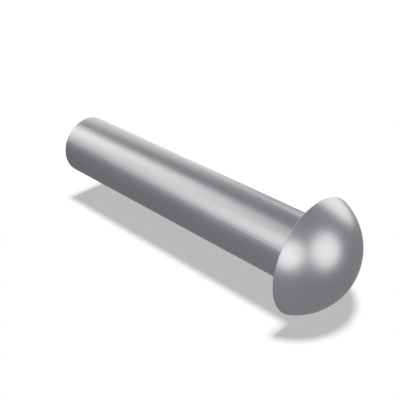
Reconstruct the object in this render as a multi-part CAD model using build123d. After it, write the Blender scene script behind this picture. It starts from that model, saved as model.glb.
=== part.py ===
from build123d import *
import os
from math import atan2, degrees

# A solid round-head rivet, cold headed in one piece from drawn steel wire.
# It stands on the flat end of its tail: Z = 0 is that end face, the shank's axis is +Z,
# and the domed head is on top. Lengths are in millimetres.

# Shank
shank_diameter = 4.0
shank_length = 20.0  # from the tail's end face to the bearing face under the head
tail_edge_radius = 0.03  # the cut end's edge, taken off by tumbling

# Head
head_diameter = 7.0  # across the rounded rim
head_height = 2.4  # from the bearing face to the top of the dome
rim_radius = 0.03  # the rim, between the bearing face and the dome
neck_radius = 0.2  # the fillet under the head, where the shank joins it


def domed_head_outline(radius, height, edge_radius):
    """Return the radius of the dome and the angle, above the horizontal, at which the rim meets it.

    The dome is one arc with its centre on the axis. It is tangent to the rim's small arc, so that
    the rounded rim stays inside the head's diameter and the dome's top is at the head's height.
    """
    rim_reach = radius - edge_radius
    rim_drop = height - edge_radius
    dome_radius = (rim_reach**2 + rim_drop**2 - edge_radius**2) / (2 * (rim_drop - edge_radius))
    meeting_angle = degrees(atan2(dome_radius - rim_drop, rim_reach))
    return dome_radius, meeting_angle


def rivet_half_section():
    """Draw half of the rivet's section, from the middle of the tail round to the top of the head."""
    shank_radius = shank_diameter / 2
    head_radius = head_diameter / 2
    dome_radius, meeting_angle = domed_head_outline(head_radius, head_height, rim_radius)

    with BuildSketch(Plane.XZ) as half_section:
        with BuildLine():
            tail_face = Line((0, 0), (shank_radius - tail_edge_radius, 0))
            tail_edge = JernArc(tail_face @ 1, tail_face % 1, tail_edge_radius, 90)
            shank_side = Line(tail_edge @ 1, (shank_radius, shank_length - neck_radius))
            neck = JernArc(shank_side @ 1, shank_side % 1, neck_radius, -90)
            bearing_face = Line(neck @ 1, (head_radius - rim_radius, shank_length))
            rim = JernArc(bearing_face @ 1, bearing_face % 1, rim_radius, 90 + meeting_angle)
            dome = JernArc(rim @ 1, rim % 1, dome_radius, 90 - meeting_angle)
            Line(dome @ 1, tail_face @ 0)
        make_face()
    return half_section.sketch


rivet = revolve(rivet_half_section(), Axis.Z)

os.makedirs("parts", exist_ok=True)
export_step(rivet, "parts/rivet.step")
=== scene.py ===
import bmesh
import bpy
from math import atan2, cos, pi, radians, sin, tan
from mathutils import Matrix, Vector


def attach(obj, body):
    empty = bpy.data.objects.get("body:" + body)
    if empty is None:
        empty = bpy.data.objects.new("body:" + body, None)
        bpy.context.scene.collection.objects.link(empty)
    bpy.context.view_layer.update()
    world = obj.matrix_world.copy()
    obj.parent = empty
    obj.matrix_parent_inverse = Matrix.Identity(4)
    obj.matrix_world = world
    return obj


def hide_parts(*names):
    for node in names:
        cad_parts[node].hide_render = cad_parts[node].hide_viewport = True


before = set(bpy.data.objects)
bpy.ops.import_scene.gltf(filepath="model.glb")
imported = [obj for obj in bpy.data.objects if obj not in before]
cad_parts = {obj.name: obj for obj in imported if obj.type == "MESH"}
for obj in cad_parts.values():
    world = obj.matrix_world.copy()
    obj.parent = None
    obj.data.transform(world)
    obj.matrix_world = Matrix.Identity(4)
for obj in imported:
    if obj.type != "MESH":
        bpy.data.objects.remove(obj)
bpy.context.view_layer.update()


# The rivet
# It is one piece of drawn steel wire. A header cuts the wire, holds it in a die and upsets its end into
# the domed head, so the shank keeps its drawn skin and runs into the head by a small fillet. The cut end
# is square, and tumbling takes the sharpness off its edge and off the head's rim.
MM = 0.001
SHANK_RADIUS = 2.0 * MM
SHANK_LENGTH = 20.0 * MM
TAIL_EDGE_RADIUS = 0.03 * MM
NECK_RADIUS = 0.2 * MM
HEAD_RADIUS = 3.5 * MM
HEAD_HEIGHT = 2.4 * MM
RIM_RADIUS = 0.03 * MM
TURNED_SEGMENTS = 192
TAIL_FACE_POINTS, TAIL_EDGE_POINTS, SHANK_POINTS, NECK_POINTS = 4, 7, 41, 9
BEARING_FACE_POINTS, RIM_POINTS, DOME_POINTS = 5, 9, 49
WELD_DISTANCE = 0.0005 * MM
LARGE_FACE_WEIGHT = 100

STEEL_COLOUR = (0.326, 0.326, 0.358)
STEEL_EDGE_TINT = (0.75, 0.75, 0.757, 1)
CLOUDS_IN_TONE, MARKS_IN_TONE = 0.07, 0.08
# Painted shade: the colour darkens a little on the rim's edge, dimming its highlight, and in the neck's
# crease.
RIM_PAINTED_SHADE_IN_TONE, NECK_PAINTED_SHADE_IN_TONE = -0.02, -0.12
STEEL_ROUGHNESS = 0.35
CLOUDS_IN_ROUGHNESS, GRAIN_IN_ROUGHNESS = 0.12, 0.16
RIM_IN_ROUGHNESS, CUT_IN_ROUGHNESS = 0.04, 0.04
LINE_DETAIL, GRAIN_DETAIL, CLOUD_DETAIL = 3, 2, 3
DRAW_LINE_PITCH = 0.14 * MM
DRAW_LINE_STRETCH = (1, 1, 0.012)
SHEAR_LINE_STRETCH = (1, 0.02, 1)
PUNCH_RING_PITCH = 0.2 * MM
PUNCH_RING_SHARE = 0.6
GRAIN_SIZE = 0.06 * MM
GRAIN_SHARE = 0.25
CLOUD_SIZE = 2.5 * MM
RIM_BREADTH = 0.08 * MM
CUT_EDGE_BREADTH = 0.12 * MM
# Share of each ring's breadth at full strength, for the worn edges and the painted shade alike.
FULL_WEAR_AND_SHADE_SHARE = 0.3
MARK_DEPTH = 0.008 * MM


def dome_of_head(radius, height, edge_radius):
    """Return the dome's radius and the angle above the horizontal at which it meets the rim's arc."""
    reach, drop = radius - edge_radius, height - edge_radius
    dome_radius = (reach**2 + drop**2 - edge_radius**2) / (2 * (drop - edge_radius))
    return dome_radius, atan2(dome_radius - drop, reach)


class Bench:
    """A node tree on the bench, with one method for each way of adding to it."""

    def __init__(self, tree):
        self.tree = tree

    def feed(self, node, place, value):
        """Give a node's input a value, or join another node's socket to it."""
        socket = node.inputs[place]
        if isinstance(value, bpy.types.NodeSocket):
            self.tree.links.new(value, socket)
        else:
            socket.default_value = value

    def add(self, kind, settings=None, *terms, **inputs):
        """Add a node with these settings and feed its inputs, the terms in order and the rest by name."""
        node = self.tree.nodes.new(kind)
        for name, value in (settings or {}).items():
            setattr(node, name, value)
        for place, term in enumerate(terms):
            self.feed(node, place, term)
        for name, value in inputs.items():
            self.feed(node, name.replace("_", " "), value)
        return node

    def math(self, operation, *terms):
        return self.add("ShaderNodeMath", {"operation": operation}, *terms).outputs[0]

    def length(self, vector):
        return self.add("ShaderNodeVectorMath", {"operation": "LENGTH"}, vector).outputs["Value"]

    def dot(self, *vectors):
        return self.add("ShaderNodeVectorMath", {"operation": "DOT_PRODUCT"}, *vectors).outputs["Value"]


def lathe_tree():
    """Build the tree that turns the rivet's half outline about its axis."""
    group = bpy.data.node_groups.new("turned_rivet", "GeometryNodeTree")
    group.interface.new_socket("Geometry", in_out="OUTPUT", socket_type="NodeSocketGeometry")
    sizes = ["Shank radius", "Shank length", "Tail edge radius", "Neck radius", "Head radius", "Rim radius",
             "Dome radius", "Dome centre height", "Dome start angle", "Weld distance"]
    for size in sizes:
        group.interface.new_socket(size, in_out="INPUT", socket_type="NodeSocketFloat")
    group.interface.new_socket("Segments", in_out="INPUT", socket_type="NodeSocketInt")
    group.interface.new_socket("Material", in_out="INPUT", socket_type="NodeSocketMaterial")
    bench = Bench(group)
    inlet = bench.add("NodeGroupInput").outputs
    shank_radius, shank_length = inlet["Shank radius"], inlet["Shank length"]
    tail_edge, neck = inlet["Tail edge radius"], inlet["Neck radius"]
    head_radius, rim, dome_radius = inlet["Head radius"], inlet["Rim radius"], inlet["Dome radius"]
    dome_centre, dome_angle = inlet["Dome centre height"], inlet["Dome start angle"]
    weld_distance, segments, material = inlet["Weld distance"], inlet["Segments"], inlet["Material"]
    quarter = pi / 2

    def line(x0, z0, x1, z1, points):
        start = bench.add("ShaderNodeCombineXYZ", X=x0, Y=z0).outputs[0]
        end = bench.add("ShaderNodeCombineXYZ", X=x1, Y=z1).outputs[0]
        stretch = bench.add("GeometryNodeCurvePrimitiveLine", Start=start, End=end).outputs[0]
        return bench.add("GeometryNodeResampleCurve", Curve=stretch, Count=points).outputs[0]

    def arc(radius, x, z, start, sweep, points):
        bend = bench.add(
            "GeometryNodeCurveArc", {"mode": "RADIUS"}, Radius=radius, Start_Angle=start, Sweep_Angle=sweep,
            Resolution=points,
        ).outputs[0]
        centre = bench.add("ShaderNodeCombineXYZ", X=x, Y=z).outputs[0]
        return bench.add("GeometryNodeTransform", Geometry=bend, Translation=centre).outputs[0]

    tail_flat = bench.math("SUBTRACT", shank_radius, tail_edge)
    neck_start = bench.math("SUBTRACT", shank_length, neck)
    neck_reach = bench.math("ADD", shank_radius, neck)
    rim_reach = bench.math("SUBTRACT", head_radius, rim)
    rim_height = bench.math("ADD", shank_length, rim)
    rim_sweep = bench.math("ADD", quarter, dome_angle)
    dome_sweep = bench.math("SUBTRACT", quarter, dome_angle)
    stretches = [
        line(0.0, 0.0, tail_flat, 0.0, TAIL_FACE_POINTS),
        arc(tail_edge, tail_flat, tail_edge, -quarter, quarter, TAIL_EDGE_POINTS),
        line(shank_radius, tail_edge, shank_radius, neck_start, SHANK_POINTS),
        arc(neck, neck_reach, neck_start, pi, -quarter, NECK_POINTS),
        line(neck_reach, shank_length, rim_reach, shank_length, BEARING_FACE_POINTS),
        arc(rim, rim_reach, rim_height, -quarter, rim_sweep, RIM_POINTS),
        arc(dome_radius, 0.0, dome_centre, dome_angle, dome_sweep, DOME_POINTS),
    ]
    joined = bench.add("GeometryNodeJoinGeometry")
    for stretch in reversed(stretches):
        points = bench.add("GeometryNodeCurveToMesh", Curve=stretch).outputs[0]
        bench.feed(joined, 0, points)
    outline = joined.outputs[0]

    point_count = bench.add("GeometryNodeAttributeDomainSize", Geometry=outline).outputs["Point Count"]
    around = bench.math("ADD", segments, 1)
    grid = bench.add("GeometryNodeMeshGrid", Vertices_X=point_count, Vertices_Y=around).outputs[0]
    index = bench.add("GeometryNodeInputIndex").outputs[0]
    row = bench.math("FLOOR", bench.math("DIVIDE", index, around))
    column = bench.math("SUBTRACT", index, bench.math("MULTIPLY", row, around))
    turn = bench.math("MULTIPLY", bench.math("DIVIDE", column, segments), -2 * pi)
    position = bench.add("GeometryNodeInputPosition").outputs[0]
    on_outline = bench.add(
        "GeometryNodeSampleIndex", {"data_type": "FLOAT_VECTOR"}, Geometry=outline, Value=position, Index=row
    ).outputs[0]
    parts = bench.add("ShaderNodeSeparateXYZ", Vector=on_outline).outputs
    turned_place = bench.add(
        "ShaderNodeCombineXYZ",
        X=bench.math("MULTIPLY", parts["X"], bench.math("COSINE", turn)),
        Y=bench.math("MULTIPLY", parts["X"], bench.math("SINE", turn)),
        Z=parts["Y"],
    ).outputs[0]
    turned = bench.add("GeometryNodeSetPosition", Geometry=grid, Position=turned_place).outputs[0]
    closed = bench.add("GeometryNodeMergeByDistance", Geometry=turned, Distance=weld_distance).outputs[0]
    smooth = bench.add("GeometryNodeSetShadeSmooth", Geometry=closed).outputs[0]
    real = bench.add("GeometryNodeRealizeInstances", Geometry=smooth).outputs[0]
    steel = bench.add("GeometryNodeSetMaterial", Geometry=real, Material=material).outputs[0]
    bench.add("NodeGroupOutput", None, steel)
    return group


def satin_steel():
    """Drawn steel dulled by tumbling: draw lines on the shank, the punch's rings on the dome, worn edges,
    and painted shade on the rim's edge and in the neck's crease under the head.
    """
    material = bpy.data.materials.new("satin_steel")
    material.use_nodes = True
    bench = Bench(material.node_tree)
    shader = material.node_tree.nodes["Principled BSDF"]
    shader.inputs["Metallic"].default_value = 1
    shader.inputs["Specular Tint"].default_value = STEEL_EDGE_TINT

    place = bench.add("ShaderNodeTexCoord").outputs["Object"]
    parts = bench.add("ShaderNodeSeparateXYZ", Vector=place).outputs
    height = parts["Z"]
    reach = bench.length(bench.add("ShaderNodeCombineXYZ", X=parts["X"], Y=parts["Y"]).outputs[0])

    def noise(where, size, detail):
        """Return noise from 0 to 1 whose grains are about that size."""
        return bench.add("ShaderNodeTexNoise", Vector=where, Scale=1 / size, Detail=detail).outputs["Fac"]

    def stretched(shares):
        """Return the place with each of its three parts times its share, which draws a pattern out."""
        return bench.add("ShaderNodeMapping", Vector=place, Scale=shares).outputs[0]

    def ramp(value, start, end, low=0.0, high=1.0):
        """Return low up to the start, high from the end on, and a smooth passage between."""
        node = bench.add("ShaderNodeMapRange", {"interpolation_type": "SMOOTHSTEP"}, Value=value)
        for name, number in (("From Min", start), ("From Max", end), ("To Min", low), ("To Max", high)):
            node.inputs[name].default_value = number
        return node.outputs[0]

    def near_ring(ring_radius, ring_height, breadth):
        """Return 1 at that circle round the axis, fading to 0 at that distance from it."""
        out = bench.math("SUBTRACT", reach, ring_radius)
        up = bench.math("SUBTRACT", height, ring_height)
        away = bench.length(bench.add("ShaderNodeCombineXYZ", X=out, Y=up).outputs[0])
        return ramp(away, FULL_WEAR_AND_SHADE_SHARE * breadth, breadth, 1.0, 0.0)

    def swing(value, amount, middle=1.0):
        """Return a number that swings about the middle by that much as the noise goes from 0 to 1."""
        return bench.math("MULTIPLY_ADD", value, amount, middle - amount / 2)

    def where_marked(mark, change):
        """Return a factor of 1 that changes by that much where the mark is."""
        return bench.math("MULTIPLY_ADD", mark, change, 1.0)

    draw_lines = noise(stretched(DRAW_LINE_STRETCH), DRAW_LINE_PITCH, LINE_DETAIL)
    shear_lines = noise(stretched(SHEAR_LINE_STRETCH), DRAW_LINE_PITCH, LINE_DETAIL)
    out_from_axis = bench.add("ShaderNodeCombineXYZ", X=reach).outputs[0]
    punch_rings = swing(noise(out_from_axis, PUNCH_RING_PITCH, LINE_DETAIL), PUNCH_RING_SHARE, 0.5)
    grain = noise(place, GRAIN_SIZE, GRAIN_DETAIL)
    clouds = noise(place, CLOUD_SIZE, CLOUD_DETAIL)

    on_head = ramp(height, SHANK_LENGTH - NECK_RADIUS, SHANK_LENGTH + RIM_RADIUS)
    on_tail_face = ramp(height, 0.0, TAIL_EDGE_RADIUS, 1.0, 0.0)
    lines = bench.add("ShaderNodeMix", Factor=on_head, A=draw_lines, B=punch_rings).outputs[0]
    lines = bench.add("ShaderNodeMix", Factor=on_tail_face, A=lines, B=shear_lines).outputs[0]
    # The rim's mask makes it rougher, which is wear, and darkens its colour, which is painted shade over its
    # highlight.
    rim_wear_and_painted_shade = near_ring(HEAD_RADIUS - RIM_RADIUS, SHANK_LENGTH + RIM_RADIUS, RIM_BREADTH)
    worn_cut = near_ring(SHANK_RADIUS, 0.0, CUT_EDGE_BREADTH)
    # Painted shade in the neck's crease under the head, where the head shades the shank.
    neck_painted_shade = near_ring(SHANK_RADIUS + NECK_RADIUS / 2, SHANK_LENGTH, 2 * NECK_RADIUS)

    tone = bench.math("MULTIPLY", swing(clouds, CLOUDS_IN_TONE), swing(lines, MARKS_IN_TONE))
    # Painted shade: the colour darkens on the rim's edge, dimming the highlight it catches.
    tone = bench.math("MULTIPLY", tone, where_marked(rim_wear_and_painted_shade, RIM_PAINTED_SHADE_IN_TONE))
    # Painted shade: the colour darkens in the neck's crease under the head.
    tone = bench.math("MULTIPLY", tone, where_marked(neck_painted_shade, NECK_PAINTED_SHADE_IN_TONE))
    colour = bench.add("ShaderNodeVectorMath", {"operation": "SCALE"}, STEEL_COLOUR, Scale=tone).outputs[0]
    bench.feed(shader, "Base Color", colour)

    worn = bench.math("MULTIPLY_ADD", worn_cut, CUT_IN_ROUGHNESS, STEEL_ROUGHNESS)
    worn = bench.math("MULTIPLY_ADD", rim_wear_and_painted_shade, RIM_IN_ROUGHNESS, worn)
    roughness = bench.math("MULTIPLY", swing(clouds, CLOUDS_IN_ROUGHNESS), swing(grain, GRAIN_IN_ROUGHNESS))
    bench.feed(shader, "Roughness", bench.math("MULTIPLY", roughness, worn))

    relief = bench.math("MULTIPLY_ADD", grain, GRAIN_SHARE, lines)
    bump = bench.add("ShaderNodeBump", Strength=1.0, Distance=MARK_DEPTH, Height=relief).outputs[0]
    bench.feed(shader, "Normal", bump)
    return material


def turned_rivet(material):
    """Turn the rivet on its tree and return it as a plain mesh object."""
    dome_radius, dome_angle = dome_of_head(HEAD_RADIUS, HEAD_HEIGHT, RIM_RADIUS)
    sizes = {
        "Shank radius": SHANK_RADIUS,
        "Shank length": SHANK_LENGTH,
        "Tail edge radius": TAIL_EDGE_RADIUS,
        "Neck radius": NECK_RADIUS,
        "Head radius": HEAD_RADIUS,
        "Rim radius": RIM_RADIUS,
        "Dome radius": dome_radius,
        "Dome centre height": SHANK_LENGTH + HEAD_HEIGHT - dome_radius,
        "Dome start angle": dome_angle,
        "Weld distance": WELD_DISTANCE,
        "Segments": TURNED_SEGMENTS,
        "Material": material,
    }
    blank = bpy.data.objects.new("rivet_blank", bpy.data.meshes.new("rivet_blank"))
    bpy.context.scene.collection.objects.link(blank)
    turning = blank.modifiers.new("turning", "NODES")
    turning.node_group = lathe_tree()
    for item in turning.node_group.interface.items_tree:
        if item.in_out == "INPUT":
            turning[item.identifier] = sizes[item.name]
    normals = blank.modifiers.new("normals", "WEIGHTED_NORMAL")
    normals.weight = LARGE_FACE_WEIGHT
    depsgraph = bpy.context.evaluated_depsgraph_get()
    mesh = bpy.data.meshes.new_from_object(blank.evaluated_get(depsgraph), depsgraph=depsgraph)
    bpy.data.objects.remove(blank)
    rivet = bpy.data.objects.new("headed_rivet", mesh)
    bpy.context.scene.collection.objects.link(rivet)
    return rivet


rivet = turned_rivet(satin_steel())
rivet.visible_diffuse = False
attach(rivet, "root")
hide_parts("rivet")


# The floor and the card
# The rivet stands on a plain white floor. A white card stands behind it, just clear of the head's rim: it
# is the surface that the rivet lies over as the camera sees it, and the shadow falls on it. The strip of
# floor along the card is clear from the front, over a lower floor, so that the shadow's soft end on the card
# stays in view. From behind, the card is clear and the strip isn't. The whole stage is turned a little about
# the rivet's axis, so that a view square to its side doesn't meet the card edge-on.
PAPER_ALBEDO = 0.72
CARD_IN_SHADOW = 0.491
FLOOR_IN_SHADOW = 0.62
FLOOR_IN_LIGHT = 1.02
CARD_Y = HEAD_RADIUS + 0.04 * MM
CARD_REACH = 60 * MM
STRIP_START_Y = CARD_Y - 0.42 * MM
FLOOR_REACH = 600 * MM
LOWER_FLOOR_Z = -0.5 * MM
STAGE_TURN = Matrix.Rotation(radians(-8), 3, "Z")
STAGE_FRONT = STAGE_TURN @ Vector((0, -1, 0))


def shown_only(bench, strength):
    """Return a socket that is the strength for camera, glossy and transmission rays, and 0 for the rest."""
    path = bench.add("ShaderNodeLightPath").outputs
    shown = bench.math("ADD", path["Is Camera Ray"], path["Is Glossy Ray"])
    shown = bench.math("ADD", shown, path["Is Transmission Ray"])
    return bench.math("MULTIPLY", shown, strength)


def glowing_material(name):
    """Return a material that isn't sampled as a lamp, and the bench with its empty tree."""
    material = bpy.data.materials.new(name)
    material.use_nodes = True
    material.cycles.emission_sampling = "NONE"
    material.node_tree.nodes.clear()
    return material, Bench(material.node_tree)


def white_paper(name, in_shadow, clear_from=None):
    """White paper: the lamps light it by its albedo, and its own white is what shows in their shadow. With
    clear_from, it is clear when seen from the side that this direction points to."""
    material, bench = glowing_material(name)
    lit = bench.add("ShaderNodeBsdfDiffuse", Color=(PAPER_ALBEDO, PAPER_ALBEDO, PAPER_ALBEDO, 1)).outputs[0]
    white = bench.add("ShaderNodeEmission", Strength=shown_only(bench, in_shadow)).outputs[0]
    paper = bench.add("ShaderNodeAddShader", None, lit, white).outputs[0]
    if clear_from:
        to_eye = bench.add("ShaderNodeNewGeometry").outputs["Incoming"]
        is_clear = bench.math("GREATER_THAN", bench.dot(to_eye, clear_from), 0)
        clear = bench.add("ShaderNodeBsdfTransparent").outputs[0]
        paper = bench.add("ShaderNodeMixShader", None, is_clear, paper, clear).outputs[0]
    bench.add("ShaderNodeOutputMaterial", Surface=paper)
    return material


def sheet(name, corners, material):
    """Lay a flat sheet of paper that casts no shadow and isn't mirrored in the steel."""
    mesh = bpy.data.meshes.new(name)
    mesh.from_pydata([STAGE_TURN @ Vector(corner) for corner in corners], [], [(0, 1, 2, 3)])
    mesh.materials.append(material)
    paper = bpy.data.objects.new(name, mesh)
    bpy.context.scene.collection.objects.link(paper)
    paper.visible_diffuse = False
    paper.visible_glossy = False
    paper.visible_shadow = False
    return paper


def level_sheet(name, z, y_start, y_end, material):
    left, right = -FLOOR_REACH, FLOOR_REACH
    corners = [(left, y_start, z), (right, y_start, z), (right, y_end, z), (left, y_end, z)]
    return sheet(name, corners, material)


def upright_sheet(name, y, z_start, reach, material):
    corners = [(-reach, y, z_start), (reach, y, z_start), (reach, y, reach), (-reach, y, reach)]
    return sheet(name, corners, material)


floor_paper = white_paper("floor_paper", FLOOR_IN_SHADOW)
strip_paper = white_paper("strip_paper", FLOOR_IN_SHADOW, clear_from=STAGE_FRONT)
floors = [
    level_sheet("front_floor", 0, -FLOOR_REACH, STRIP_START_Y, floor_paper),
    level_sheet("floor_strip", 0, STRIP_START_Y, CARD_Y, strip_paper),
    level_sheet("back_floor", 0, CARD_Y, FLOOR_REACH, floor_paper),
    level_sheet("lower_floor", LOWER_FLOOR_Z, -FLOOR_REACH, FLOOR_REACH, floor_paper),
]
card_paper = white_paper("card_paper", CARD_IN_SHADOW, clear_from=-STAGE_FRONT)
card = upright_sheet("card", CARD_Y, LOWER_FLOOR_Z, CARD_REACH, card_paper)

world = bpy.data.worlds.new("white_room")
bpy.context.scene.world = world
world.use_nodes = True
room = world.node_tree.nodes["Background"]
room.inputs["Color"].default_value = (1, 1, 1, 1)
room_bench = Bench(world.node_tree)
room_bench.feed(room, "Strength", shown_only(room_bench, 1.0))


# The camera
# The photograph was taken 45 degrees round from the rivet's axis and 30 degrees above it, with the rivet
# level. The rivet stands here, so the camera is turned with it: what points up in its picture is the
# direction from the card to the stage's front.
CAMERA_ROUND, CAMERA_ABOVE = radians(45), radians(30)
CAMERA_DISTANCE = 46.15 * MM
LENS_ANGLE = radians(30)
CLIP_START, CLIP_END = 1 * MM, 2000 * MM
rivet_middle = Vector((0, 0, (SHANK_LENGTH + HEAD_HEIGHT) / 2))

level_share = cos(CAMERA_ABOVE)
outward = Vector((sin(CAMERA_ROUND) * level_share, -sin(CAMERA_ABOVE), cos(CAMERA_ROUND) * level_share))
outward.rotate(STAGE_TURN)
across = STAGE_FRONT.cross(outward).normalized()
turned_axes = Matrix((across, outward.cross(across), outward)).transposed()
camera_data = bpy.data.cameras.new("camera")
camera_data.angle = LENS_ANGLE
camera_data.clip_start, camera_data.clip_end = CLIP_START, CLIP_END
camera = bpy.data.objects.new("camera", camera_data)
camera.matrix_world = Matrix.Translation(rivet_middle + outward * CAMERA_DISTANCE) @ turned_axes.to_4x4()
bpy.context.scene.collection.objects.link(camera)
bpy.context.scene.camera = camera
bpy.context.scene.view_settings.view_transform = "Standard"


# The tent
# A bright part is photographed in a tent of plain grey cloth, so that its metal mirrors soft tones. The
# cloth is lightest round the rivet and darkest under it. It shows in the steel alone: the camera and the
# lamps for the paper look through it.
TENT_RADIUS = 550 * MM
TENT_SUBDIVISIONS = 4
TENT_GREY, TENT_RISE, TENT_FALL = 0.56, 0.07, -0.2

cloth, tent_bench = glowing_material("tent_cloth")
tent_place = tent_bench.add("ShaderNodeTexCoord").outputs["Object"]
tent_height = tent_bench.add("ShaderNodeSeparateXYZ", Vector=tent_place).outputs["Z"]
share = tent_bench.math("DIVIDE", tent_height, TENT_RADIUS)
slope = tent_bench.math("MULTIPLY_ADD", share, TENT_FALL, TENT_RISE)
tone = tent_bench.math("MULTIPLY_ADD", share, slope, TENT_GREY)
glow = tent_bench.add("ShaderNodeEmission", Strength=tone).outputs[0]
tent_bench.add("ShaderNodeOutputMaterial", Surface=glow)
tent_mesh = bpy.data.meshes.new("tent")
tent_shape = bmesh.new()
bmesh.ops.create_icosphere(tent_shape, subdivisions=TENT_SUBDIVISIONS, radius=TENT_RADIUS)
bmesh.ops.reverse_faces(tent_shape, faces=tent_shape.faces)
tent_shape.to_mesh(tent_mesh)
tent_shape.free()
tent_mesh.materials.append(cloth)
tent = bpy.data.objects.new("tent", tent_mesh)
bpy.context.scene.collection.objects.link(tent)
tent.visible_camera = False
tent.visible_diffuse = False
tent.visible_transmission = False
tent.visible_shadow = False


# The lamps
# Eight round soft boxes in the tent light the steel, one of them from behind. A wide lamp square to the
# card gives the rivet's shadow on it, and one from the camera's side gives the shadow on the floor, which
# the rivet hides from the camera.
BOX_DISTANCE = 450 * MM
BOX_LIGHT = (1, 1, 0.92)
CARD_LAMP_WIDTH = 11.2
FLOOR_LAMP_WIDTH = 8


def direction(azimuth, elevation):
    """Return the direction so many degrees round from the stage's front, and so many above the floor."""
    around, above = radians(azimuth), radians(elevation)
    return STAGE_TURN @ Vector((sin(around) * cos(above), -cos(around) * cos(above), sin(above)))


def place_lamp(data, towards, lit_things):
    """Hang the lamp in that direction, facing the rivet's middle, and let it light those things only."""
    lamp = bpy.data.objects.new(data.name, data)
    lamp.rotation_mode = "QUATERNION"
    lamp.rotation_quaternion = towards.to_track_quat("Z", "Y")
    lamp.location = rivet_middle + towards * BOX_DISTANCE
    bpy.context.scene.collection.objects.link(lamp)
    lamp.visible_camera = False
    lit = bpy.data.collections.new("lit_by_" + data.name)
    for thing in lit_things:
        lit.objects.link(thing)
    lamp.light_linking.receiver_collection = lit


def soft_box(name, azimuth, elevation, spread, brightness):
    """A round soft box in that direction, which spreads so many degrees about its middle."""
    radius = BOX_DISTANCE * tan(radians(spread))
    data = bpy.data.lights.new(name, "AREA")
    data.shape = "DISK"
    data.size = 2 * radius
    data.energy = brightness * pi * pi * radius**2
    data.color = BOX_LIGHT
    place_lamp(data, direction(azimuth, elevation), [rivet])


def paper_lamp(name, towards, width, light, lit_things):
    """A far lamp, so many degrees wide, that adds that much of plain white to paper square to it."""
    data = bpy.data.lights.new(name, "SUN")
    data.energy = pi * light / PAPER_ALBEDO
    data.angle = radians(width)
    place_lamp(data, towards, lit_things)


soft_box("box_over_head", -12, 72, 26, 2.3)
soft_box("box_right", 68, 27, 24, 2.45)
soft_box("box_left", -69, -4, 26, 2.1)
soft_box("box_low_front", 15, -44, 14, 2.05)
soft_box("box_under_front", 37, -63, 16, 2.25)
soft_box("box_low_right", 56, -21, 23, 1.9)
soft_box("box_under_left", -86, -65, 31, 1.7)
soft_box("box_behind", -129, -30, 12, 2.8)

floor_light = (FLOOR_IN_LIGHT - FLOOR_IN_SHADOW) / outward.z
paper_lamp("card_lamp", STAGE_FRONT, CARD_LAMP_WIDTH, 1 - CARD_IN_SHADOW, [card])
paper_lamp("floor_lamp", outward, FLOOR_LAMP_WIDTH, floor_light, floors)
